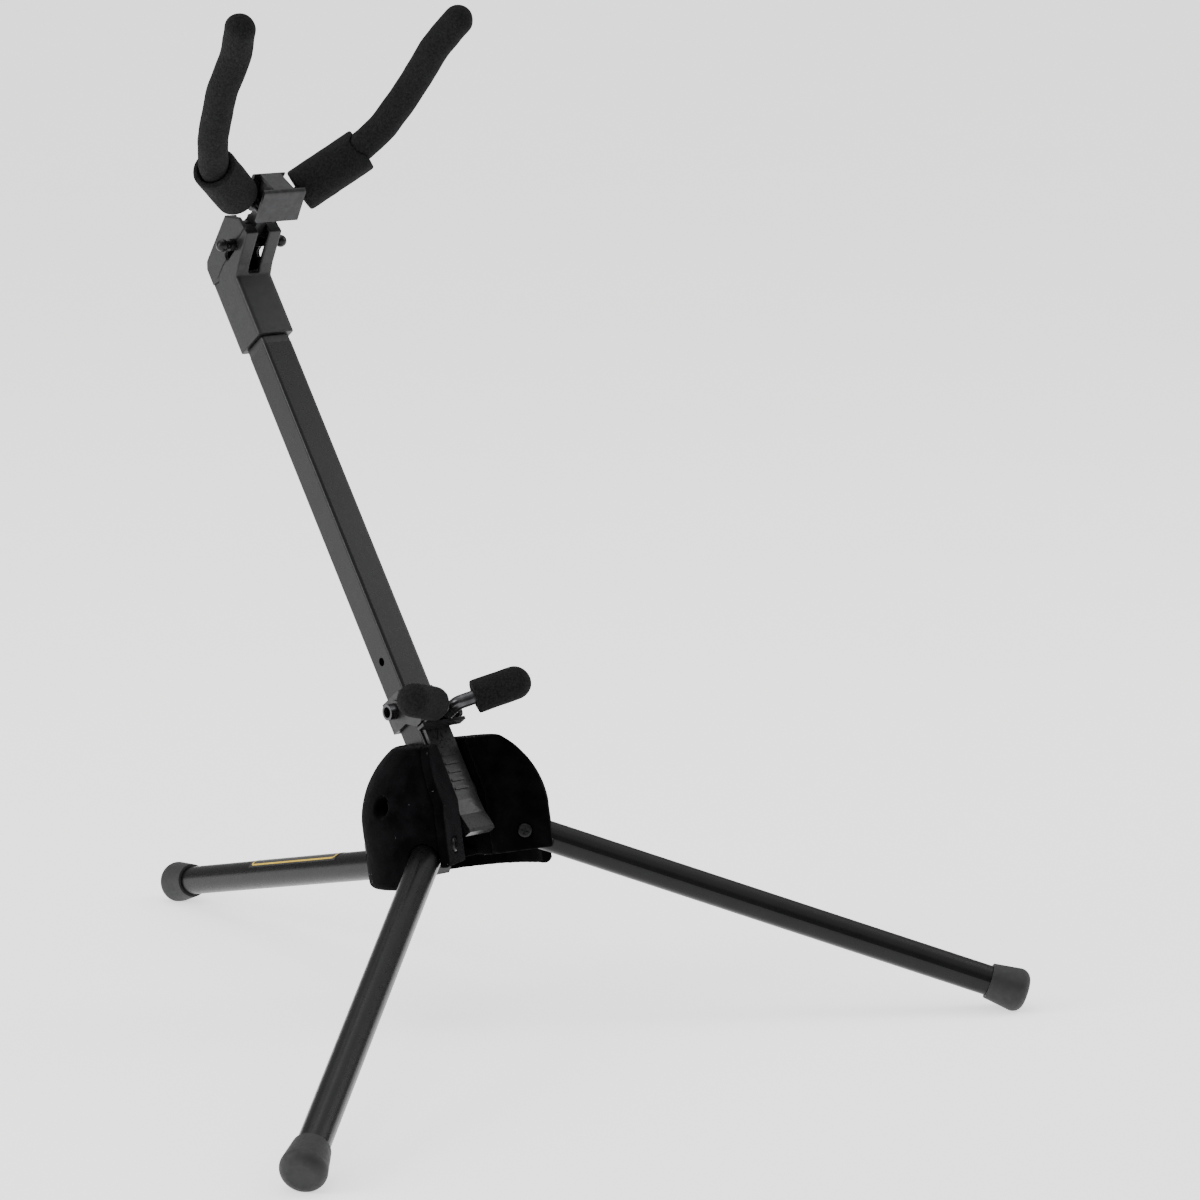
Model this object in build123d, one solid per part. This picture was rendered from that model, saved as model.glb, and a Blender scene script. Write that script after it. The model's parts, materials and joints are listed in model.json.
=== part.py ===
from build123d import *
import os
from math import cos, radians, sin

# Folding saxophone stand.  Millimetres, +Z up, the front of the stand looks along -Y.
# Three working frames hang on one point, the centre of the hub: the hub frame, whose Z is
# the axis of the dome; the mast frame, whose Z runs up the mast; and the yoke frame, which
# sits on top of the yoke's channel.  In each of them X is the stand's own X and -Y is forward.

# Driving dimensions -------------------------------------------------------------------------
HUB_CENTRE = Vector(0, -31.5, 89.8)
HUB_TILT = 11.54            # dome axis, degrees back from vertical
MAST_TILT = 36.54           # mast, degrees back from vertical
YOKE_TILT = -28.6           # yoke, degrees back from vertical (so it leans forward)
YOKE_CENTRE = Vector(0, 97.0, 349.1)

CLEAR = 0.05                # running clearance on a radius
SLOT_HALF = 8.6             # half width of the slot that the mast stands in

DOME_R = 40.5
DOME_TOP = 28.0
DOME_RIM = -31.0
DOME_FLOOR = -23.0          # underside of the hub's middle, above the outer rim
DOME_WALL = 4.0
FACE_OFFSET = 7.2           # distance of the V faces from the dome axis
FACE_LEAN = 0.345           # slope of the V faces' upper part
FACE_BEND = 4.0             # height where the upper part starts
COVER = 4.0

LEG_R = 6.6
LEG_WALL = 1.2
LEG_YAW = 37.0              # front legs, degrees forward of sideways
LEG_DROP = 25.5             # front legs, degrees below the hub's level
LEG_FOLD = 64.5
LEG_PIVOT = Vector(25.2, -14.45, -14.0)
LEG_LENGTH = 227.4
LEG_SCREW_R = 2.0
FOOT_R = 9.5
FOOT_RIM_R = 7.8
FOOT_LENGTH = 17.0
POCKET_R = 6.95

REAR_PIVOT = Vector(0, 21.2, -13.6)
REAR_START = Vector(0, 31.0, -24.3)
REAR_END = Vector(0, 236.1, -35.5)
REAR_EYE_R = 4.9
KNUCKLE_SWEEP = 20.8        # room that the rear leg's hinge casting turns in
REAR_BOLT_R = 2.0
LABEL_FROM = 59.0
LABEL_TO = 131.0

MAST_W = 15.0
MAST_WALL = 1.2
MAST_BOTTOM = -5.0
MAST_TOP = 228.0
MAST_PIVOT = Vector(0, -3.0, 4.0)
MAST_BOLT_R = 2.5
MAST_SWEEP = 24.4           # room that the foot of the mast and its latch turn in

INNER_W = 11.6
INNER_WALL = 1.0
INNER_BOTTOM = 112.0
INNER_TOP = 262.0
BUSH_TOP = 231.6

LATCH_HALF = 6.5
LATCH_TOP = 36.5
LATCH_BOTTOM = -17.5
LATCH_FRONT = 9.6
LATCH_TRAVEL = 8.0

HEAD_HALF = 9.5
HEAD_BOTTOM = 232.0
HEAD_WALL = 2.0
LOCK_PIN = Vector(0, -16.6, 274.0)
LOCK_PIN_R = 1.8
LOCK_SLOT = Vector(0, 7.9, -1.0)
TILT_PIVOT = Vector(0, -22.0, 279.3)
TILT_PIN_R = 1.5
STEM_HALF = 2.5

CHANNEL_DEPTH = 16.0
CHANNEL_HALF = 8.0
CHANNEL_SHEET = 1.5
WEB_HALF = 5.3              # half width of the channel's web between its notches
BACK_HALF = 8.1             # half width of the channel's back flange
ARM_PIVOT = Vector(8.0, 3.4, -12.3)
ARM_R = 2.6
THICK_R = 10.0
THIN_R = 6.7
SLEEVE_EXTRA = 7.5          # how much further up its arm the right thick sleeve reaches

AXLE = Vector(0, 0.0, 47.3)
AXLE_R = 3.5
PEG_R = 3.1
PEG_FOAM_R = 7.4
PEG_Z = 36.9


# Helpers ------------------------------------------------------------------------------------
def frame(origin, tilt):
    """A frame at origin, leaning back by tilt degrees, with X to the right."""
    return Plane(origin=origin, x_dir=(1, 0, 0), z_dir=(0, sin(radians(tilt)), cos(radians(tilt))))


HUB = frame(HUB_CENTRE, HUB_TILT)
MAST = frame(HUB_CENTRE, MAST_TILT)
YOKE = frame(YOKE_CENTRE, YOKE_TILT)


def place(shape, *planes):
    """Moves a shape out of the innermost frame, the last one named, to the stand's frame."""
    for plane in reversed(planes):
        shape = plane.location * shape
    return shape


def flip(shape):
    """The same piece for the other side of the stand."""
    return mirror(shape, about=Plane.YZ)


def block(x, y, z):
    """A box from its low and high values along each axis."""
    size = (x[1] - x[0], y[1] - y[0], z[1] - z[0])
    return Pos(x[0], y[0], z[0]) * Box(*size, align=(Align.MIN, Align.MIN, Align.MIN))


def rod(start, end, radius):
    start = Vector(start)
    run = Vector(end) - start
    return Plane(origin=start, z_dir=run) * Cylinder(
        radius, run.length, align=(Align.CENTER, Align.CENTER, Align.MIN))


def cross_rod(centre, radius, low, high):
    """A rod along X through centre."""
    return rod((low, centre.Y, centre.Z), (high, centre.Y, centre.Z), radius)


def side_plate(points, low, high):
    """A plate across X with the outline given as (y, z) points."""
    face = Plane.YZ * Polygon(*points, align=None)
    return Pos(low, 0, 0) * extrude(face, high - low, dir=(1, 0, 0))


def hex_prism(start, end, across):
    start = Vector(start)
    run = Vector(end) - start
    hexagon = RegularPolygon(across / 2, 6, major_radius=False)
    return Plane(origin=start, z_dir=run) * extrude(hexagon, run.length)


def square_tube(width, wall, low, high, corner=1.5):
    outer = extrude(RectangleRounded(width, width, corner), high - low)
    inner = extrude(RectangleRounded(width - 2 * wall, width - 2 * wall, corner / 2), high - low)
    return Pos(0, 0, low) * (outer - inner)


# Hub ----------------------------------------------------------------------------------------
def dome():
    """The bell-shaped body of revolution that both halves are cut from."""
    rim = 3.0
    curve = Curve() + [
        Line((0, DOME_RIM), (DOME_R - rim, DOME_RIM)),
        RadiusArc((DOME_R - rim, DOME_RIM), (DOME_R, DOME_RIM + rim), -rim),
        Line((DOME_R, DOME_RIM + rim), (DOME_R, -2)),
        ThreePointArc((DOME_R, -2), (35.6, 14), (24.8, 26.6)),
        ThreePointArc((24.8, 26.6), (23.4, 27.6), (21.8, DOME_TOP)),
        Line((21.8, DOME_TOP), (0, DOME_TOP)),
        Line((0, DOME_TOP), (0, DOME_RIM)),
    ]
    return revolve(make_face(Plane.XZ * curve), Axis.Z)


def face_normal():
    return Vector(-sin(radians(LEG_YAW)), -cos(radians(LEG_YAW)), 0)


def behind_face(offset):
    """The space behind a V face: upright below the bend, leaning back above it."""
    size = 200
    normal = face_normal()
    on_face = normal * offset
    half_space = Box(size, size, size, align=(Align.CENTER, Align.CENTER, Align.MAX))
    lower = Plane(origin=on_face, z_dir=normal) * half_space
    lean = normal + Vector(0, 0, FACE_LEAN)
    upper = Plane(origin=on_face + Vector(0, 0, FACE_BEND), z_dir=lean) * half_space
    return lower & upper


def leg_frame():
    """Front right leg: X along the unfolded leg, Z along its hinge, out of the V face."""
    drop = radians(LEG_DROP)
    yaw = radians(LEG_YAW)
    along = Vector(cos(yaw) * cos(drop), -sin(yaw) * cos(drop), -sin(drop))
    return Plane(origin=LEG_PIVOT, x_dir=along, z_dir=face_normal())


def leg_pocket():
    """The room that a front leg folds down in: a round roof over an open sector."""
    reach = 130
    down = Vector(cos(radians(LEG_FOLD)), -sin(radians(LEG_FOLD)), 0)
    far = down * reach
    sector = Polygon((0, 0), (reach / 2, 0), (reach / 2, far.Y), (far.X, far.Y), align=None)
    room = Pos(0, 0, -POCKET_R) * extrude(sector, 2 * POCKET_R, dir=(0, 0, 1))
    room += rod((0, 0, 0), (reach / 2, 0, 0), POCKET_R)
    room += rod((0, 0, 0), far, POCKET_R)
    return room + Sphere(POCKET_R)


def leg_screw_holes():
    hole = rod((0, 0, -16), (0, 0, 12), LEG_SCREW_R + CLEAR)
    return hole + rod((0, 0, 9.7), (0, 0, 14), 3.7)


def mast_bolt_holes():
    hole = cross_rod(hub_mast_pivot(), MAST_BOLT_R + CLEAR, -60, 60)
    hole += cross_rod(hub_mast_pivot(), 4.6, -60, -30)
    return hole + cross_rod(hub_mast_pivot(), 5.0, 30, 60)


def rear_bolt_holes():
    hole = cross_rod(REAR_PIVOT, REAR_BOLT_R + CLEAR, -60, 60)
    hole += hex_prism((-29, REAR_PIVOT.Y, REAR_PIVOT.Z), (-60, REAR_PIVOT.Y, REAR_PIVOT.Z), 7.2)
    return hole + cross_rod(REAR_PIVOT, 3.8, 29, 60)


def hub_mast_pivot():
    """The mast's hinge in the hub frame."""
    turn = radians(MAST_TILT - HUB_TILT)
    y = MAST_PIVOT.Y * cos(turn) + MAST_PIVOT.Z * sin(turn)
    z = MAST_PIVOT.Z * cos(turn) - MAST_PIVOT.Y * sin(turn)
    return Vector(0, y, z)


def hub_right():
    """Right half of the dome as (body, cover plate)."""
    half = dome() & block((SLOT_HALF, 60), (-60, 60), (-60, 60))
    half = half & behind_face(FACE_OFFSET)
    core = behind_face(FACE_OFFSET - COVER)
    cover = half - core - block((0, 60), (-60, 60), (-60, DOME_FLOOR + 0.5))
    hollow = Pos(0, 0, DOME_FLOOR) * Cylinder(
        DOME_R - DOME_WALL, 20, align=(Align.CENTER, Align.CENTER, Align.MAX))
    body = (half & core) - hollow - leg_frame().location * leg_pocket()
    holes = leg_frame().location * leg_screw_holes()
    return body - holes, cover - holes


def hub_spine():
    """Bridge that closes the slot behind the mast and takes the rear leg's hinge."""
    gap = 0.1
    inner = SLOT_HALF - gap
    bridge = dome() & block((-inner, inner), (0, 60), (-60, 60))
    bridge -= cross_rod(hub_mast_pivot(), MAST_SWEEP, -20, 20)
    behind_mast = block((-20, 20), (-60, MAST_W / 2 + 0.1), (-60, 80))
    bridge -= place(behind_mast, frame((0, 0, 0), MAST_TILT - HUB_TILT))
    eye = REAR_EYE_R + 0.5
    roof = [
        (REAR_PIVOT.Y - eye, REAR_PIVOT.Z), (REAR_PIVOT.Y - eye, -60), (60, -60),
        (60, -18.6), (REAR_START.Y, -17.1), (REAR_PIVOT.Y + eye, REAR_PIVOT.Z),
    ]
    bridge -= side_plate(roof, -6.8, 6.8)
    bridge -= cross_rod(REAR_PIVOT, eye, -6.8, 6.8)
    swing = cross_rod(REAR_PIVOT, KNUCKLE_SWEEP, -6.8, 6.8)
    bridge -= swing & block((-20, 20), (-60, REAR_PIVOT.Y), (-60, REAR_PIVOT.Z + 3.6))
    bridge -= block((-20, 20), (0, DOME_R - DOME_WALL), (-60, DOME_FLOOR))
    return bridge - cross_rod(REAR_PIVOT, REAR_BOLT_R + CLEAR, -20, 20)


def phillips_screw(length):
    """Pan head screw along Z with its head's underside at z = 0."""
    head = Cylinder(3.1, 1.6, align=(Align.CENTER, Align.CENTER, Align.MIN))
    head = fillet(head.edges().group_by(Axis.Z)[-1], 0.9)
    for turn in (0, 90):
        head -= Rot(0, 0, turn) * Pos(0, 0, 1.6) * Box(3.4, 0.75, 1.8)
    shank = Cylinder(LEG_SCREW_R, length, align=(Align.CENTER, Align.CENTER, Align.MAX))
    return head + shank


def leg_pivot_screws():
    screw = leg_frame().location * (Pos(0, 0, 9.75) * phillips_screw(24))
    return Compound(children=[screw, flip(screw)])


def mast_pivot_bolt():
    pivot = hub_mast_pivot()
    bolt = cross_rod(pivot, MAST_BOLT_R, -31, 34.5)
    head = cross_rod(pivot, 4.2, -32.6, -30.02)
    head = fillet(head.edges().group_by(Axis.X)[0], 1.2)
    socket = hex_prism((-33, pivot.Y, pivot.Z), (-31, pivot.Y, pivot.Z), 4)
    return bolt + head - socket


def mast_pivot_nut():
    pivot = hub_mast_pivot()
    nut = hex_prism((30.05, pivot.Y, pivot.Z), (33.8, pivot.Y, pivot.Z), 8)
    return nut - cross_rod(pivot, MAST_BOLT_R + CLEAR, 20, 40)


def mast_washers():
    ring = cross_rod(hub_mast_pivot(), 5, 7.6, 8.5)
    ring -= cross_rod(hub_mast_pivot(), MAST_BOLT_R + CLEAR, 7, 9)
    return Compound(children=[ring, flip(ring)])


def rear_pivot_bolt():
    shank = cross_rod(REAR_PIVOT, REAR_BOLT_R, -33, 29.05)
    head = cross_rod(REAR_PIVOT, 3.5, 29.05, 31.2)
    return shank + fillet(head.edges().group_by(Axis.X)[-1], 1.0)


def rear_pivot_nut():
    nut = hex_prism((-32.2, REAR_PIVOT.Y, REAR_PIVOT.Z), (-29.05, REAR_PIVOT.Y, REAR_PIVOT.Z), 7)
    return nut - cross_rod(REAR_PIVOT, REAR_BOLT_R + CLEAR, -40, 0)


# Legs ---------------------------------------------------------------------------------------
def leg_tube(start, end):
    tube = rod(start, end, LEG_R)
    return tube - rod(start, end, LEG_R - LEG_WALL)


def foot(length):
    """Rubber cap over the end of a tube that lies along X from 0 to length."""
    end = length + 1.5
    start = end - FOOT_LENGTH
    round_end = 3.0
    curve = Curve() + [
        Line((start, 0), (start, FOOT_RIM_R)),
        Line((start, FOOT_RIM_R), (end - 5, FOOT_R)),
        ThreePointArc((end - 5, FOOT_R), (end - 1.2, FOOT_R - 1.5), (end, FOOT_R - round_end - 1)),
        Line((end, FOOT_R - round_end - 1), (end, 0)),
        Line((end, 0), (start, 0)),
    ]
    cap = revolve(make_face(curve), Axis.X)
    return cap - rod((start - 1, 0, 0), (length - 1, 0, 0), LEG_R + 0.02)


def stand_on_floor(shape):
    """Cuts a foot flat where it meets the floor."""
    return shape - block((-400, 400), (-400, 400), (-50, 0))


def front_knuckle():
    """Plastic end of a front leg with the hinge bore, plugged into the tube."""
    inner = LEG_R - LEG_WALL - 0.02
    knuckle = rod((0, 0, 0), (8, 0, 0), LEG_R) + Sphere(LEG_R)
    knuckle += rod((8, 0, 0), (26, 0, 0), inner)
    return knuckle - rod((0, 0, -20), (0, 0, 20), LEG_SCREW_R + CLEAR)


def front_leg():
    """Right front leg as (tube, knuckle, foot)."""
    planes = (HUB, leg_frame())
    tube = leg_tube((8.05, 0, 0), (LEG_LENGTH - 1.05, 0, 0))
    cap = stand_on_floor(place(foot(LEG_LENGTH), *planes))
    return place(tube, *planes), place(front_knuckle(), *planes), cap


def rear_frame():
    """Rear leg: X along the tube from its inner end."""
    return Plane(origin=REAR_START, x_dir=REAR_END - REAR_START, z_dir=(1, 0, 0))


def rear_knuckle():
    """Casting that hangs the tube below its hinge bolt."""
    bottom = REAR_START.Z - LEG_R + 0.4
    profile = [
        (REAR_PIVOT.Y - REAR_EYE_R, REAR_PIVOT.Z), (17.2, -27.5), (19.5, bottom),
        (REAR_START.Y - 0.4, bottom - 0.4), (REAR_START.Y - 0.4, REAR_START.Z + LEG_R),
        (REAR_PIVOT.Y + REAR_EYE_R, REAR_PIVOT.Z),
    ]
    casting = side_plate(profile, -6.6, 6.6)
    casting += cross_rod(REAR_PIVOT, REAR_EYE_R, -6.6, 6.6)
    stub = rod((-2, 0, 0), (20, 0, 0), LEG_R - LEG_WALL - 0.02)
    casting += rear_frame().location * stub
    return casting - cross_rod(REAR_PIVOT, REAR_BOLT_R + CLEAR, -20, 20)


def leg_label():
    """Plain sticker with a raised border on top of the rear leg."""
    thickness = 0.12
    angle = 104
    ring = rod((LABEL_FROM, 0, 0), (LABEL_TO, 0, 0), LEG_R + 0.01 + thickness)
    ring -= rod((LABEL_FROM, 0, 0), (LABEL_TO, 0, 0), LEG_R + 0.01)
    half = radians(angle / 2)
    wedge = Polygon((0, 0), (20 * cos(half), 20 * sin(half)), (30, 0),
                    (20 * cos(half), -20 * sin(half)), align=None)
    upward = Plane(origin=(0, 0, 0), x_dir=(0, 1, 0), z_dir=(1, 0, 0))
    return ring & upward.location * extrude(wedge, 300, dir=(0, 0, 1))


def rear_leg():
    """Rear leg as (tube, knuckle, foot, label)."""
    length = (REAR_END - REAR_START).length
    planes = (HUB, rear_frame())
    tube = leg_tube((0.05, 0, 0), (length - 1.05, 0, 0))
    cap = stand_on_floor(place(foot(length), *planes))
    return place(tube, *planes), place(rear_knuckle(), HUB), cap, place(leg_label(), *planes)


# Mast ---------------------------------------------------------------------------------------
def mast_tube():
    tube = square_tube(MAST_W, MAST_WALL, MAST_BOTTOM, MAST_TOP)
    tube -= cross_rod(MAST_PIVOT, MAST_BOLT_R + CLEAR, -20, 20)
    tube -= cross_rod(AXLE, AXLE_R + CLEAR, -20, 20)
    tube -= cross_rod(Vector(0, 0, 71), 1.9, -20, 0)
    for z in (14, 32):
        tube -= block((-1.7, 1.7), (-20, 0), (z - 1.7, z + 1.7 + LATCH_TRAVEL))
    return tube


def mast_foot_plug():
    half = MAST_W / 2 - MAST_WALL - 0.02
    plug = block((-half, half), (-half, half), (MAST_BOTTOM, 11))
    plug = fillet(plug.edges().filter_by(Axis.Z), 0.8)
    return plug - cross_rod(MAST_PIVOT, MAST_BOLT_R + CLEAR, -20, 20)


def mast_bush():
    """Plastic bush in the mouth of the mast that the inner tube slides in."""
    flange = square_tube(MAST_W - 0.3, 1.55, MAST_TOP + 0.05, BUSH_TOP, 1.4)
    half = INNER_W / 2 + 0.1
    flange -= block((-half, half), (-half, half), (MAST_TOP - 5, BUSH_TOP + 5))
    liner = square_tube(MAST_W - 2 * MAST_WALL - 0.04, 0.38, MAST_TOP - 14, MAST_TOP + 0.05, 0.8)
    return flange + liner


def latch():
    """Sliding lock plate on the front of the mast, flared at its foot as a finger lip."""
    back = -(MAST_W / 2 + 0.08)
    profile = [
        (back, LATCH_TOP), (back, LATCH_BOTTOM), (-12.0, LATCH_BOTTOM),
        (-12.2, LATCH_BOTTOM + 1.6), (-LATCH_FRONT - 0.5, LATCH_BOTTOM + 9),
        (-LATCH_FRONT, LATCH_BOTTOM + 16), (-LATCH_FRONT, LATCH_TOP - 0.6),
        (-LATCH_FRONT + 0.6, LATCH_TOP),
    ]
    plate = side_plate(profile, -LATCH_HALF, LATCH_HALF)
    front = Plane(origin=(0, -LATCH_FRONT + 0.05, 0), x_dir=(1, 0, 0), z_dir=(0, -1, 0))
    marks = Pos(0, 29.5) * (Polygon((-2.4, -2.4), (2.4, -2.4), (0, 2.6), align=None)
                            - Pos(0, -0.35) * Polygon((-1.1, -1.1), (1.1, -1.1), (0, 1.2), align=None))
    for step in range(5):
        marks += Pos(0, 20 - 4 * step) * RectangleRounded(7, 1.3, 0.5)
    plate += front.location * extrude(marks, 0.5, dir=(0, 0, 1))
    for z in (14, 32):
        plate += rod((0, back, z), (0, -5.9, z), 1.5)
        plate += rod((0, -5.9, z), (0, -5.0, z), 2.6)
    return plate


def mast_inner():
    tube = square_tube(INNER_W, INNER_WALL, INNER_BOTTOM, INNER_TOP, 1.0)
    return tube


def inner_glide():
    """Plug in the foot of the inner tube that keeps it from rattling in the mast."""
    half = MAST_W / 2 - MAST_WALL - CLEAR
    head = block((-half, half), (-half, half), (INNER_BOTTOM - 5, INNER_BOTTOM - 0.05))
    head = fillet(head.edges().filter_by(Axis.Z), 0.8)
    core = INNER_W / 2 - INNER_WALL - 0.02
    stem = block((-core, core), (-core, core), (INNER_BOTTOM - 1, INNER_BOTTOM + 10))
    return head + fillet(stem.edges().filter_by(Axis.Z), 0.8)


# Head ---------------------------------------------------------------------------------------
HEAD_OUTLINE = [
    (9.5, HEAD_BOTTOM), (9.5, 276.8), (7.2, 279.9), (-18.3, 288.4), (-26.8, 282.0),
    (-28.6, 272.4), (-13.5, 264.9), (-9.5, 262.0), (-9.5, HEAD_BOTTOM),
]
HEAD_ROOM = [
    (6.8, 268.0), (6.8, 275.4), (-18.0, 284.4), (-19.0, 292.0), (-30.0, 292.0),
    (-26.6, 273.2), (-12.6, 266.8), (-9.0, 264.5),
]
COVER_OUTLINE = [
    (9.5, 268.4), (9.5, 276.8), (7.2, 279.9), (-18.3, 288.4), (-26.8, 282.0),
    (-28.0, 275.6), (-3.3, 271.6), (4.0, 268.8), (3.0, 267.2), (8.6, 268.2),
]


def lock_slot(radius, low, high):
    """The oblong slot that the lock pin slides in."""
    start = LOCK_PIN
    end = LOCK_PIN + LOCK_SLOT
    slot = cross_rod(start, radius, low, high) + cross_rod(end, radius, low, high)
    side = Vector(0, -LOCK_SLOT.Z, LOCK_SLOT.Y).normalized() * radius
    corners = [start + side, end + side, end - side, start - side]
    return slot + side_plate([(c.Y, c.Z) for c in corners], low, high)


def head_sides():
    """Cover plates let into both cheeks of the head."""
    left = side_plate(COVER_OUTLINE, -HEAD_HALF, -HEAD_HALF + 1.0)
    return left, flip(left)


def head_body():
    """Hollow plastic elbow over the inner tube, open at the top for the yoke's stem."""
    body = side_plate(HEAD_OUTLINE, -HEAD_HALF, HEAD_HALF)
    upright = [e for e in body.edges().filter_by(Axis.Z) if e.length > 20]
    body = fillet(upright, 1.6)
    body -= side_plate(HEAD_ROOM, -HEAD_HALF + HEAD_WALL, HEAD_HALF - HEAD_WALL)
    half = INNER_W / 2 + 0.02
    body -= block((-half, half), (-half, half), (HEAD_BOTTOM - 1, INNER_TOP + 0.1))
    gap = STEM_HALF + 0.45
    body -= side_plate([(-9.0, 262.6), (-9.0, 292), (-40, 292), (-40, 262.6)], -gap, gap)
    for cover in head_sides():
        body -= cover
    body -= cross_rod(TILT_PIVOT, TILT_PIN_R + 0.01, -HEAD_HALF + 1, HEAD_HALF - 1)
    return body - lock_slot(LOCK_PIN_R + CLEAR, -20, 20)


def head_cover(side):
    return side - lock_slot(LOCK_PIN_R + CLEAR, -20, 20)


def lock_pin():
    """Cross pin with a ball and a collar at each end."""
    pin = cross_rod(LOCK_PIN, LOCK_PIN_R, -15.5, 15.5)
    for side in (-1, 1):
        end = Vector(side * 15.6, LOCK_PIN.Y, LOCK_PIN.Z)
        pin += Pos(*end) * Sphere(2.8)
        pin += cross_rod(LOCK_PIN, 2.7, *sorted((side * 9.75, side * 12.2)))
    return pin


def tilt_pin():
    return cross_rod(TILT_PIVOT, TILT_PIN_R, -HEAD_HALF + 1.05, HEAD_HALF - 1.05)


def tilt_spacers():
    ring = cross_rod(TILT_PIVOT, 3.2, STEM_HALF + 0.1, HEAD_HALF - HEAD_WALL - 0.1)
    ring -= cross_rod(TILT_PIVOT, TILT_PIN_R + CLEAR, 0, 12)
    return Compound(children=[ring, flip(ring)])


# Yoke ---------------------------------------------------------------------------------------
def yoke_channel():
    """Folded sheet channel whose web is notched on both sides for the arms."""
    inner = CHANNEL_HALF - CHANNEL_SHEET
    channel = block((-11, 11), (-CHANNEL_HALF, CHANNEL_HALF), (-CHANNEL_DEPTH, 0))
    bends = [e for e in channel.edges().filter_by(Axis.X) if e.center().Z > -0.1]
    channel = fillet(bends, 1.8)
    channel -= block((-20, 20), (-inner, inner), (-20, -CHANNEL_SHEET))
    for low, high in ((-20, -WEB_HALF), (WEB_HALF, 20)):
        channel -= block((low, high), (-inner + 0.3, inner - 0.3), (-20, 1))
    for low, high in ((-20, -BACK_HALF), (BACK_HALF, 20)):
        channel -= block((low, high), (0, 20), (-20, 1))
    for side in (-1, 1):
        pin = Vector(side * ARM_PIVOT.X, 0, ARM_PIVOT.Z)
        channel -= rod(pin + Vector(0, -inner, 0), pin + Vector(0, 9, 0), 1.5 + CLEAR)
    return channel


def arm_pivots():
    """Rivets that the two arms turn on, with their heads at the back."""
    front = -CHANNEL_HALF + CHANNEL_SHEET + 0.02
    rivets = []
    for side in (-1, 1):
        x = side * ARM_PIVOT.X
        rivet = rod((x, front, ARM_PIVOT.Z), (x, CHANNEL_HALF + 0.3, ARM_PIVOT.Z), 1.5)
        head = rod((x, CHANNEL_HALF + 0.02, ARM_PIVOT.Z), (x, CHANNEL_HALF + 0.8, ARM_PIVOT.Z), 2.2)
        rivets.append(rivet + head)
    return Compound(children=rivets)


def yoke_stem():
    """Flat tongue from the channel down to the tilt hinge in the head, in the mast frame."""
    root = [(-46.7, 289.5), (-49.0, 284.4), (-34.6, 277.7), (-23.5, 275.5), (-21.0, 283.2), (-33.1, 283.2)]
    stem = side_plate(root, -STEM_HALF, STEM_HALF) + cross_rod(TILT_PIVOT, 4.1, -STEM_HALF, STEM_HALF)
    return stem - cross_rod(TILT_PIVOT, TILT_PIN_R + CLEAR, -10, 10)


def yoke_block():
    """Plastic spacer that fills the middle of the channel and holds the tongue."""
    inner = CHANNEL_HALF - CHANNEL_SHEET - 0.05
    return block((-4.4, 4.4), (-inner, inner), (-CHANNEL_DEPTH + 1, -CHANNEL_SHEET - 0.05))


def arm_route():
    """Centre line of the right arm, from its rivet to the tip."""
    points = [
        (ARM_PIVOT.X + 3.2, ARM_PIVOT.Y, -11.0), (16.3, 3.4, -8.7), (36.0, 0.8, 9.2),
        (45.2, -4.8, 29.0), (50.9, -9.2, 55.0), (52.2, -13.4, 75.0), (57.0, -17.2, 90.5),
    ]
    return FilletPolyline(*points, radius=[8, 16, 40, 60, 40])


def round_sweep(path, radius):
    section = Plane(origin=path @ 0, z_dir=path % 0) * Circle(radius)
    return sweep(section, path=path)


def arm_rod():
    """Bent steel rod with a flat eye at its rivet."""
    path = arm_route()
    eye = rod((ARM_PIVOT.X, 0.7, ARM_PIVOT.Z), (ARM_PIVOT.X, 6.2, ARM_PIVOT.Z), 3.3)
    neck = rod((ARM_PIVOT.X, ARM_PIVOT.Y, ARM_PIVOT.Z), path @ 0, 2.2)
    arm = round_sweep(path, ARM_R) + neck + eye
    return arm - rod((ARM_PIVOT.X, -9, ARM_PIVOT.Z), (ARM_PIVOT.X, 9, ARM_PIVOT.Z), 1.5 + CLEAR)


def thick_sleeve_ends():
    start = Vector(16.3, 3.4, -8.7)
    end = Vector(36.0, 0.8, 9.2)
    return start, end


def arm_thick_foam(extra):
    """Straight sleeve by the channel, pushed up the arm by extra over the end of the thin one."""
    start, end = thick_sleeve_ends()
    along = (end - start).normalized()
    top = end + along * extra
    sleeve = rod(start, top, THICK_R)
    sleeve = fillet(sleeve.edges().filter_by(GeomType.CIRCLE), 1.0)
    sleeve -= rod(start - along, end, ARM_R + 0.15)
    mouth = rod(end - along * 7, end + along * 2, THIN_R + 0.9)
    curved = round_sweep(arm_route(), THIN_R + 0.4)
    return sleeve - mouth - (curved & rod(end - along * 4, top + along * 3, 2 * THICK_R))


def arm_thin_foam():
    """Curved sleeve over the upper arm, closed and rounded at the tip."""
    start, end = thick_sleeve_ends()
    along = (end - start).normalized()
    path = arm_route()
    tip = path @ 1
    body = round_sweep(path, THIN_R) + Pos(*tip) * Sphere(THIN_R)
    behind = Plane(origin=end - along * 6.9, z_dir=along)
    body -= behind * Box(60, 60, 60, align=(Align.CENTER, Align.CENTER, Align.MAX))
    return body - round_sweep(path, ARM_R + 0.02)


# Lower yoke ---------------------------------------------------------------------------------
def lower_bracket():
    """Sheet strap round the back and sides of the mast that carries the lower hinge."""
    half = MAST_W / 2
    strap = block((-9.2, 9.2), (-5.5, half + 1.6), (40.0, 54.5))
    strap -= block((-half - 0.02, half + 0.02), (-20, half + 0.02), (30, 60))
    return strap - cross_rod(AXLE, AXLE_R + CLEAR, -20, 20)


def lower_axle():
    """Hollow axle through the mast that the fork turns on."""
    return cross_rod(AXLE, AXLE_R, -15, 15) - cross_rod(AXLE, AXLE_R - 1.1, -20, 20)


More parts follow.
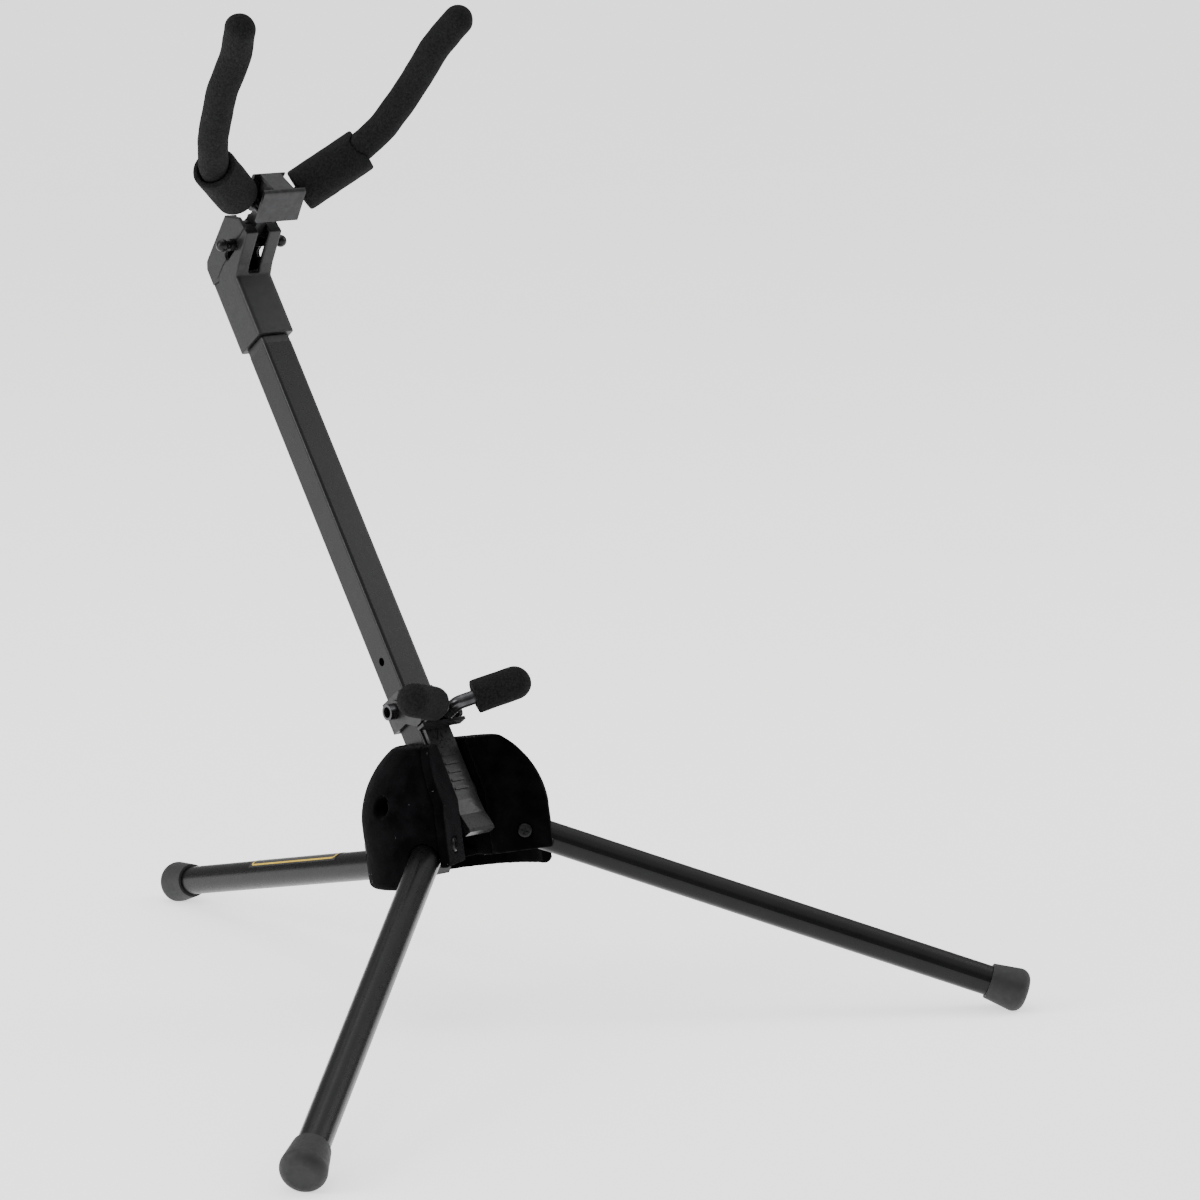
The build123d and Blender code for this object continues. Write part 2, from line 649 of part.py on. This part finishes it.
def lower_fork():
    """Two side plates joined below the mast's front by a strip that carries the pegs."""
    profile = [
        (AXLE.Y + 1.8, AXLE.Z + 4.2), (-16.0, 39.6), (-16.0, 34.6), (-11.0, 34.6),
        (AXLE.Y + 1.8, AXLE.Z - 4.2),
    ]
    plates = side_plate(profile, 9.5, 11.2)
    plates = fillet(plates.edges().filter_by(Axis.X), 1.8)
    plates += cross_rod(AXLE, 4.9, 9.5, 11.2)
    plates += flip(plates)
    plates += block((-11.2, 11.2), (-16.0, -11.0), (PEG_Z - PEG_R - 1.4, PEG_Z - PEG_R - 0.02))
    return plates - cross_rod(AXLE, AXLE_R + CLEAR, -20, 20)


def peg_line():
    """Bend and tip of the right peg's rod."""
    return Vector(3.6, -24.5, PEG_Z), Vector(26.6, -37.1, PEG_Z - 0.2)


def peg_rod():
    bend, tip = peg_line()
    path = FilletPolyline((3.6, -11.6, PEG_Z), bend, tip, radius=4)
    return round_sweep(path, PEG_R)


def peg_foam():
    bend, tip = peg_line()
    along = (tip - bend).normalized()
    start = tip - along * 18.3
    foam = rod(start, tip, PEG_FOAM_R) + Pos(*tip) * Sphere(PEG_FOAM_R)
    return foam - rod(start - along, tip + along * 0.02, PEG_R + 0.02)


# Export -------------------------------------------------------------------------------------
def pair(name, right):
    return {f"{name}_right": right, f"{name}_left": flip(right)}


def build():
    nodes = {}
    half, cover = hub_right()
    bolt_holes = mast_bolt_holes() + rear_bolt_holes()
    nodes["hub_half_right"] = place(half - bolt_holes, HUB)
    nodes["hub_half_left"] = place(flip(half) - bolt_holes, HUB)
    nodes.update(pair("hub_cover", place(cover, HUB)))
    for maker in (hub_spine, leg_pivot_screws, mast_pivot_bolt, mast_pivot_nut, mast_washers,
                  rear_pivot_bolt, rear_pivot_nut):
        nodes[maker.__name__] = place(maker(), HUB)
    tube, knuckle, cap = front_leg()
    nodes.update(pair("front_leg_tube", tube))
    nodes.update(pair("front_leg_knuckle", knuckle))
    nodes.update(pair("front_foot", cap))
    names = ("rear_leg_tube", "rear_leg_knuckle", "rear_foot", "leg_label")
    nodes.update(zip(names, rear_leg()))
    for maker in (mast_tube, mast_foot_plug, mast_bush, latch, mast_inner, inner_glide, head_body,
                  lock_pin, tilt_pin, tilt_spacers, yoke_stem, lower_bracket, lower_axle, lower_fork):
        nodes[maker.__name__] = place(maker(), MAST)
    left, right = head_sides()
    nodes["head_cover_left"] = place(head_cover(left), MAST)
    nodes["head_cover_right"] = place(head_cover(right), MAST)
    for maker in (yoke_channel, yoke_block, arm_pivots):
        nodes[maker.__name__] = place(maker(), YOKE)
    for maker in (arm_rod, arm_thin_foam):
        nodes.update(pair(maker.__name__, place(maker(), YOKE)))
    nodes["arm_thick_foam_right"] = place(arm_thick_foam(SLEEVE_EXTRA), YOKE)
    nodes["arm_thick_foam_left"] = flip(place(arm_thick_foam(0), YOKE))
    nodes.update(pair("peg_rod", place(peg_rod(), MAST)))
    nodes.update(pair("peg_foam", place(peg_foam(), MAST)))
    stem_room = nodes["yoke_stem"]
    nodes["yoke_block"] -= stem_room
    return nodes


os.makedirs("parts", exist_ok=True)
for name, shape in build().items():
    export_step(shape, f"parts/{name}.step")
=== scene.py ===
import json
import math
import random

import bmesh
import bpy
from mathutils import Matrix, Vector, noise


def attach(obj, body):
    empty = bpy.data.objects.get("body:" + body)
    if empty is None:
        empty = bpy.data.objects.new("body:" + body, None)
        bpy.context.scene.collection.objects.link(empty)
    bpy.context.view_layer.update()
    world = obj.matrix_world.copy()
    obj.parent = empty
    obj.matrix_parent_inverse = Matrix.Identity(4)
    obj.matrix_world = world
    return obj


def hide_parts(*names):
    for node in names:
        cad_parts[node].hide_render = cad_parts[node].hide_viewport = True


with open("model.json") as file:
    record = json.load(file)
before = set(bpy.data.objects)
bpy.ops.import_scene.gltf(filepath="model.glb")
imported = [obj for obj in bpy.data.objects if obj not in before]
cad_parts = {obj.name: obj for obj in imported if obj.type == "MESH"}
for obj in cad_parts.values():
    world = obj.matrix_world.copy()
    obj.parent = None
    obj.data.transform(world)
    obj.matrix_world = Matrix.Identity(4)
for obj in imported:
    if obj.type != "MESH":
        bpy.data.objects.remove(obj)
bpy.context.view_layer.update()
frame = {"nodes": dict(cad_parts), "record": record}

# Folding saxophone stand: looks. Metres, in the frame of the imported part.
MM = 0.001

CAMERA_PLACE = Vector((-0.9957, -1.3780, 0.5125))
CAMERA_LOOK = Vector((0.6123, 0.7662, -0.1949))
CAMERA_LENS = 120.0
SENSOR_WIDTH = 36.0

HUB_CENTRE = Vector((0, -31.5, 89.8)) * MM
HUB_TILT = math.radians(11.54)
REAR_START = Vector((0, 31.0, -24.3)) * MM
REAR_END = Vector((0, 236.1, -35.5)) * MM
LEG_R = 6.6 * MM
LABEL_FROM = 59.0 * MM
LABEL_TO = 131.0 * MM
LABEL_HALF_ANGLE = math.radians(52)

NODES = frame["nodes"]
BODY_OF = {node: body for body, members in frame["record"]["behaviour"]["bodies"].items()
           for node in members}
SLOT_OF = {part["node"]: part["material_slot"] for part in frame["record"]["subparts"]}


# Materials ----------------------------------------------------------------------------------
class Finish:
    """A node material on the Principled shader, patterned in the object's own coordinates."""

    def __init__(self, name, **constants):
        self.material = bpy.data.materials.new(name)
        self.material.use_nodes = True
        self.tree = self.material.node_tree
        self.shader = self.tree.nodes["Principled BSDF"]
        self.coords = self.tree.nodes.new("ShaderNodeTexCoord")
        self.normal = None
        for socket, value in constants.items():
            self.shader.inputs[socket.replace("_", " ")].default_value = value

    def node(self, kind, **values):
        made = self.tree.nodes.new(kind)
        for name, value in values.items():
            made.inputs[name.replace("_", " ")].default_value = value
        return made

    def link(self, source, target):
        self.tree.links.new(source, target)

    def placed(self, stretch):
        mapping = self.node("ShaderNodeMapping", Scale=stretch)
        self.link(self.coords.outputs["Object"], mapping.inputs["Vector"])
        return mapping.outputs["Vector"]

    def grain(self, size, detail=3.0, rough=0.6, stretch=(1, 1, 1)):
        """Noise whose features are about size metres across."""
        texture = self.node("ShaderNodeTexNoise", Scale=1 / size, Detail=detail, Roughness=rough)
        self.link(self.placed(stretch), texture.inputs["Vector"])
        return texture.outputs["Fac"]

    def cells(self, size):
        texture = self.node("ShaderNodeTexVoronoi", Scale=1 / size)
        self.link(self.placed((1, 1, 1)), texture.inputs["Vector"])
        return texture.outputs["Distance"]

    def spread(self, source, low, high, start=0.35, end=0.65):
        """Maps a pattern's middle range to low..high."""
        spread = self.node("ShaderNodeMapRange")
        spread.inputs["From Min"].default_value = start
        spread.inputs["From Max"].default_value = end
        spread.inputs["To Min"].default_value = low
        spread.inputs["To Max"].default_value = high
        self.link(source, spread.inputs["Value"])
        return spread.outputs["Result"]

    def colour(self, source, dark, light, start=0.35, end=0.65):
        ramp = self.node("ShaderNodeValToRGB")
        ramp.color_ramp.elements[0].position = start
        ramp.color_ramp.elements[0].color = (*dark, 1)
        ramp.color_ramp.elements[1].position = end
        ramp.color_ramp.elements[1].color = (*light, 1)
        self.link(source, ramp.inputs["Fac"])
        return ramp.outputs["Color"]

    def paint(self, colour):
        self.link(colour, self.shader.inputs["Base Color"])

    def mixed(self, factor, under, over):
        mix = self.tree.nodes.new("ShaderNodeMix")
        mix.data_type = "RGBA"
        self.link(factor, mix.inputs[0])
        self.link(under, mix.inputs[6])
        mix.inputs[7].default_value = (*over, 1)
        return mix.outputs[2]

    def roughen(self, source, low, high):
        self.link(self.spread(source, low, high), self.shader.inputs["Roughness"])

    def bump(self, source, strength, depth):
        bump = self.node("ShaderNodeBump", Strength=strength, Distance=depth)
        self.link(source, bump.inputs["Height"])
        if self.normal:
            self.link(self.normal, bump.inputs["Normal"])
        self.normal = bump.outputs["Normal"]
        self.link(self.normal, self.shader.inputs["Normal"])


def flock():
    """Short black nap with brushed patches and a little lint."""
    look = Finish("flock", Roughness=1.0, Specular_IOR_Level=0.03, Sheen_Weight=0.035,
                  Sheen_Roughness=0.3, Sheen_Tint=(0.85, 0.8, 0.88, 1))
    nap = look.colour(look.grain(9 * MM, 4), (0.0007, 0.0006, 0.0008), (0.003, 0.0027, 0.0032))
    lint = look.spread(look.cells(2.6 * MM), 1, 0, 0.03, 0.06)
    thin = look.spread(look.grain(6 * MM, 1), 0, 0.35, 0.5, 0.6)
    both = look.tree.nodes.new("ShaderNodeMath")
    both.operation = "MULTIPLY"
    look.link(lint, both.inputs[0])
    look.link(thin, both.inputs[1])
    look.paint(look.mixed(both.outputs[0], nap, (0.07, 0.065, 0.075)))
    look.bump(look.grain(0.28 * MM, 3, 0.7), 0.8, 0.25 * MM)
    look.bump(look.grain(5 * MM, 2), 0.25, 0.5 * MM)
    return look.material


def foam():
    """Closed-cell foam with a fine matt skin."""
    look = Finish("foam", Roughness=0.95, Specular_IOR_Level=0.1, Sheen_Weight=0.01,
                  Sheen_Roughness=0.5)
    speckle = look.grain(0.9 * MM, 5, 0.8)
    look.paint(look.colour(speckle, (0.001, 0.001, 0.0012), (0.014, 0.014, 0.0148)))
    look.roughen(look.grain(2 * MM), 0.88, 1.0)
    look.bump(look.cells(0.8 * MM), 0.5, 0.25 * MM)
    look.bump(look.grain(0.5 * MM, 4, 0.8), 0.9, 0.3 * MM)
    look.bump(look.grain(6 * MM, 2), 0.3, 0.6 * MM)
    return look.material


def powder_coat():
    """Satin black coat with a faint orange peel."""
    look = Finish("powder_coat", Specular_IOR_Level=0.22)
    look.paint(look.colour(look.grain(14 * MM, 4), (0.0014, 0.0014, 0.0016), (0.003, 0.003, 0.0033)))
    look.roughen(look.grain(3 * MM, 4, 0.6), 0.26, 0.31)
    look.bump(look.grain(2.5 * MM, 2), 0.05, 0.02 * MM)
    return look.material


def steel():
    """Smooth dark steel."""
    look = Finish("dark_steel", Metallic=0.85, Specular_IOR_Level=0.5)
    look.paint(look.colour(look.grain(4 * MM, 4), (0.035, 0.035, 0.037), (0.07, 0.07, 0.074)))
    look.roughen(look.grain(3 * MM, 4, 0.6), 0.22, 0.3)
    look.bump(look.grain(2 * MM, 2), 0.03, 0.01 * MM)
    return look.material


def sheet_metal():
    """Black folded sheet with a fine grain drawn out along X."""
    look = Finish("sheet_metal", Metallic=0.5, Specular_IOR_Level=0.5)
    look.paint(look.colour(look.grain(3 * MM, 4), (0.012, 0.012, 0.013), (0.024, 0.024, 0.0255)))
    look.roughen(look.grain(1.2 * MM, 5, 0.7), 0.3, 0.44)
    look.bump(look.grain(2 * MM, 3, 0.6, (1, 6, 6)), 0.04, 0.01 * MM)
    return look.material


def blackened():
    """Black oxide on turned steel."""
    look = Finish("black_oxide", Specular_IOR_Level=0.2)
    look.paint(look.colour(look.grain(1.5 * MM, 4), (0.003, 0.003, 0.0033), (0.007, 0.007, 0.0075)))
    look.roughen(look.grain(1.5 * MM, 3), 0.26, 0.36)
    look.bump(look.grain(1.5 * MM, 2), 0.04, 0.01 * MM)
    return look.material


def plastic(name, dark, light, rough, grain_depth):
    """Moulded plastic with a spark-eroded grain."""
    look = Finish(name, Specular_IOR_Level=0.32)
    look.paint(look.colour(look.grain(5 * MM, 5), dark, light))
    look.roughen(look.grain(1.2 * MM, 4), rough - 0.06, rough + 0.08)
    look.bump(look.grain(0.22 * MM, 3, 0.65), 0.35, grain_depth)
    look.bump(look.grain(7 * MM, 2), 0.08, 0.1 * MM)
    return look.material


def rubber():
    """Moulded foot, dusty from the floor."""
    look = Finish("foot_rubber", Specular_IOR_Level=0.35, Sheen_Weight=0.05)
    look.paint(look.colour(look.grain(3 * MM, 6, 0.7), (0.008, 0.008, 0.0084), (0.016, 0.016, 0.0168)))
    look.roughen(look.grain(1.5 * MM, 4), 0.58, 0.76)
    look.bump(look.grain(0.4 * MM, 4, 0.7), 0.35, 0.08 * MM)
    return look.material


def film(name, dark, light):
    """Printed sticker film."""
    look = Finish(name, Specular_IOR_Level=0.5, Coat_Weight=0.4, Coat_Roughness=0.15)
    look.paint(look.colour(look.grain(2 * MM, 4), dark, light))
    look.roughen(look.grain(1 * MM, 4), 0.26, 0.4)
    look.bump(look.grain(2.5 * MM, 2), 0.06, 0.05 * MM)
    return look.material


def lint_fibre():
    look = Finish("lint", Roughness=0.9, Specular_IOR_Level=0.2)
    look.paint(look.colour(look.grain(2 * MM), (0.1, 0.1, 0.11), (0.3, 0.29, 0.31)))
    return look.material


FINISHES = {
    "flocked_shell": flock(),
    "foam": foam(),
    "black_metal": powder_coat(),
    "satin_steel": steel(),
    "black_screws": blackened(),
    "hard_plastic": plastic("hard_plastic", (0.004, 0.004, 0.0043), (0.0075, 0.0075, 0.008), 0.42,
                            0.05 * MM),
    "latch_plastic": plastic("latch_plastic", (0.012, 0.012, 0.0125), (0.019, 0.019, 0.02), 0.3,
                             0.01 * MM),
    "foot_rubber": rubber(),
    "sticker": film("label_field", (0.006, 0.006, 0.006), (0.012, 0.012, 0.012)),
}
SHEET_NODES = ("yoke_channel", "yoke_stem", "lower_bracket", "lower_fork")
DARK_NODES = ("lock_pin", "tilt_pin", "tilt_spacers")


def finish_cad_nodes():
    """Gives every CAD node that still shows the material of its slot."""
    sheet = sheet_metal()
    for name, obj in NODES.items():
        finish = FINISHES["black_screws" if name in DARK_NODES else SLOT_OF[name]]
        obj.data.materials.clear()
        obj.data.materials.append(sheet if name in SHEET_NODES else finish)


# Mesh helpers -------------------------------------------------------------------------------
def add_object(name, mesh, material):
    obj = bpy.data.objects.new(name, mesh)
    bpy.context.scene.collection.objects.link(obj)
    mesh.materials.clear()
    mesh.materials.append(material)
    return obj


def apply_modifiers(obj):
    """Works the object's modifiers into its mesh."""
    bpy.context.view_layer.update()
    graph = bpy.context.evaluated_depsgraph_get()
    mesh = bpy.data.meshes.new_from_object(obj.evaluated_get(graph))
    obj.modifiers.clear()
    obj.data = mesh


def welded_copy(node, name):
    mesh = NODES[node].data.copy()
    mesh.name = name
    work = bmesh.new()
    work.from_mesh(mesh)
    bmesh.ops.remove_doubles(work, verts=work.verts, dist=0.002 * MM)
    work.to_mesh(mesh)
    work.free()
    return mesh


def ripple(mesh, height, size, seed):
    """Moves the surface along its normals by smooth noise up to height."""
    shift = Vector((seed * 7.3, seed * 3.1, seed * 5.7))
    moves = [v.normal * height * noise.noise(v.co / size + shift) for v in mesh.vertices]
    for vertex, move in zip(mesh.vertices, moves):
        vertex.co += move


def softened(node, name, voxel, rounds, height=0.0, size=8 * MM, seed=0):
    """A copy of a CAD node with its edges rolled over and its faces slightly uneven."""
    slot = SLOT_OF[node]
    obj = add_object(name, welded_copy(node, name), FINISHES[slot])
    remesh = obj.modifiers.new("remesh", "REMESH")
    remesh.mode = "VOXEL"
    remesh.voxel_size = voxel
    smooth = obj.modifiers.new("smooth", "SMOOTH")
    smooth.iterations = rounds
    apply_modifiers(obj)
    if height:
        ripple(obj.data, height, size, seed)
    for face in obj.data.polygons:
        face.use_smooth = True
    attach(obj, BODY_OF[node])
    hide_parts(node)
    return obj


# Flocked hub --------------------------------------------------------------------------------
HUB_VOXEL = 0.75 * MM
HUB_ROUNDS = 5


def make_hub():
    shells = []
    for seed, node in enumerate(("hub_half_left", "hub_half_right", "hub_cover_left",
                                 "hub_cover_right", "hub_spine")):
        shells.append(softened(node, "flocked_" + node, HUB_VOXEL, HUB_ROUNDS, 0.1 * MM, 6 * MM, seed))
    return shells


def add_lint(shells, count=110):
    """Loose fibres lying on the nap, as thin bent slivers."""
    chance = random.Random(4)
    fibres = bmesh.new()
    for _ in range(count):
        mesh = chance.choice(shells[:4]).data
        face = mesh.polygons[chance.randrange(len(mesh.polygons))]
        normal = face.normal.copy()
        if (face.center - HUB_CENTRE).dot(normal) < 10 * MM:
            continue
        along = normal.orthogonal().normalized()
        along.rotate(Matrix.Rotation(chance.uniform(0, 2 * math.pi), 3, normal))
        side = normal.cross(along)
        length = chance.uniform(0.5, 1.3) * MM
        bend = chance.uniform(-0.3, 0.3) * length
        half = 0.035 * MM
        rings = []
        for step in range(5):
            run = step / 4 - 0.5
            middle = face.center + along * length * run + side * bend * (4 * run * run)
            middle += normal * (0.12 * MM + 0.1 * MM * run)
            rings.append([fibres.verts.new(middle + offset) for offset in
                          (side * half, normal * half, -side * half, -normal * half)])
        for one, two in zip(rings, rings[1:]):
            for i in range(4):
                fibres.faces.new((one[i], one[(i + 1) % 4], two[(i + 1) % 4], two[i]))
        fibres.faces.new(rings[0][::-1])
        fibres.faces.new(rings[-1])
    mesh = bpy.data.meshes.new("flock_lint")
    bmesh.ops.recalc_face_normals(fibres, faces=fibres.faces)
    fibres.to_mesh(mesh)
    fibres.free()
    lint = add_object("flock_lint", mesh, lint_fibre())
    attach(lint, "hub")


# Foam sleeves -------------------------------------------------------------------------------
FOAM_VOXEL = 0.55 * MM
FOAM_ROUNDS = {"peg_foam": 9, "arm_thick_foam": 7, "arm_thin_foam": 6}


def make_foam():
    for seed, side in enumerate(("left", "right"), 11):
        for part, rounds in FOAM_ROUNDS.items():
            node = f"{part}_{side}"
            piece = softened(node, "sleeve_" + node, FOAM_VOXEL, rounds, 0.28 * MM, 7 * MM, seed)


# Plastic head -------------------------------------------------------------------------------
HEAD_VOXEL = 0.4 * MM
HEAD_ROUNDS = 3


def make_head():
    for node in ("head_body", "head_cover_left", "head_cover_right"):
        softened(node, "moulded_" + node, HEAD_VOXEL, HEAD_ROUNDS)


# Label --------------------------------------------------------------------------------------
def rear_leg_axes():
    """Start of the rear leg, its direction and the direction square to it that points up."""
    back = Vector((0, math.cos(HUB_TILT), -math.sin(HUB_TILT)))
    up = Vector((0, math.sin(HUB_TILT), math.cos(HUB_TILT)))
    start = HUB_CENTRE + back * REAR_START.y + up * REAR_START.z
    end = HUB_CENTRE + back * REAR_END.y + up * REAR_END.z
    along = (end - start).normalized()
    return start, along, Vector((1, 0, 0)).cross(along)


def rounded_rectangle(length, width, corner, count):
    """Evenly spaced points round a rectangle with round corners, centred on the origin."""
    long_side = length - 2 * corner
    short_side = width - 2 * corner
    quarter = math.pi * corner / 2
    legs = [long_side, quarter, short_side, quarter] * 2
    points = []
    for step in range(count):
        run = sum(legs) * step / count
        leg = 0
        while run > legs[leg]:
            run -= legs[leg]
            leg += 1
        turn = (leg // 2) * math.pi / 2
        half = (long_side if leg // 2 % 2 == 0 else short_side) / 2
        other = (short_side if leg // 2 % 2 == 0 else long_side) / 2
        if leg % 2 == 0:
            point = Vector((-half + run, -other - corner))
        else:
            angle = run / corner
            point = Vector((half + corner * math.sin(angle), -other - corner * math.cos(angle)))
        point.rotate(Matrix.Rotation(turn, 2))
        points.append(point)
    return points


def make_label_border():
    """Raised yellow band round the plain sticker on the rear leg."""
    start, along, up = rear_leg_axes()
    across = Vector((1, 0, 0))
    centre = (LABEL_FROM + LABEL_TO) / 2
    length = LABEL_TO - LABEL_FROM - 2.4 * MM
    width = 2 * LABEL_HALF_ANGLE * LEG_R - 2.0 * MM
    band = 0.9 * MM
    count = 220
    outer = rounded_rectangle(length, width, 2.0 * MM, count)
    inner = rounded_rectangle(length - 2 * band, width - 2 * band, 1.1 * MM, count)
    low = LEG_R + 0.1 * MM
    high = LEG_R + 0.17 * MM
    work = bmesh.new()

    def wrapped(points, radius):
        ring = []
        for point in points:
            angle = point.y / LEG_R
            out = up * math.cos(angle) + across * math.sin(angle)
            ring.append(work.verts.new(start + along * (centre + point.x) + out * radius))
        return ring

    loops = [wrapped(outer, low), wrapped(outer, high), wrapped(inner, high), wrapped(inner, low)]
    for one, two in zip(loops, loops[1:] + loops[:1]):
        for i in range(count):
            j = (i + 1) % count
            work.faces.new((one[i], one[j], two[j], two[i]))
    bmesh.ops.recalc_face_normals(work, faces=work.faces)
    mesh = bpy.data.meshes.new("label_border")
    work.to_mesh(mesh)
    work.free()
    yellow = film("label_yellow", (0.62, 0.4, 0.02), (0.75, 0.5, 0.035))
    border = add_object("label_border", mesh, yellow)
    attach(border, "rear_leg")


# Stage --------------------------------------------------------------------------------------
FLOOR_SIZE = 30.0


def make_stage():
    mesh = bpy.data.meshes.new("floor")
    half = FLOOR_SIZE / 2
    mesh.from_pydata([(-half, -half, 0), (half, -half, 0), (half, half, 0), (-half, half, 0)], [],
                     [(0, 1, 2, 3)])
    look = Finish("floor", Specular_IOR_Level=0.1, Emission_Strength=1.1,
                  Emission_Color=(1, 1, 1, 1))
    look.paint(look.colour(look.grain(0.5, 2), (0.86, 0.86, 0.86), (0.88, 0.88, 0.88)))
    look.roughen(look.grain(0.1, 2), 0.6, 0.7)
    add_object("floor", mesh, look.material)
    world = bpy.data.worlds.new("studio")
    world.use_nodes = True
    background = world.node_tree.nodes["Background"]
    background.inputs["Color"].default_value = (1, 1, 1, 1)
    background.inputs["Strength"].default_value = 0.4
    bpy.context.scene.world = world


def softbox(name, place, target, width, height, power):
    light = bpy.data.lights.new(name, "AREA")
    light.shape = "RECTANGLE"
    light.size = width
    light.size_y = height
    light.energy = power
    obj = bpy.data.objects.new(name, light)
    bpy.context.scene.collection.objects.link(obj)
    obj.location = place
    aim = Vector(target) - Vector(place)
    obj.rotation_euler = aim.to_track_quat("-Z", "Y").to_euler()


def make_lights():
    sky = bpy.data.lights.new("sky", "SUN")
    sky.energy = 1.5
    sky.angle = math.radians(100)
    overhead = bpy.data.objects.new("sky", sky)
    bpy.context.scene.collection.objects.link(overhead)
    overhead.location = (0, 0, 3)
    softbox("top", (0.0, 0.3, 2.2), (0, 0, 0.1), 1.6, 1.6, 12)
    softbox("left", (-1.7, 0.5, 0.9), (0, 0, 0.2), 0.9, 1.3, 30)
    softbox("right", (1.4, -0.6, 1.1), (0, 0, 0.2), 0.5, 1.0, 10)


def make_camera():
    camera = bpy.data.cameras.new("camera")
    camera.lens = CAMERA_LENS
    camera.sensor_width = SENSOR_WIDTH
    camera.clip_end = 100.0
    obj = bpy.data.objects.new("camera", camera)
    bpy.context.scene.collection.objects.link(obj)
    obj.location = CAMERA_PLACE
    obj.rotation_euler = CAMERA_LOOK.to_track_quat("-Z", "Y").to_euler()
    bpy.context.scene.camera = obj


finish_cad_nodes()
add_lint(make_hub())
make_foam()
make_head()
make_label_border()
make_stage()
make_lights()
make_camera()
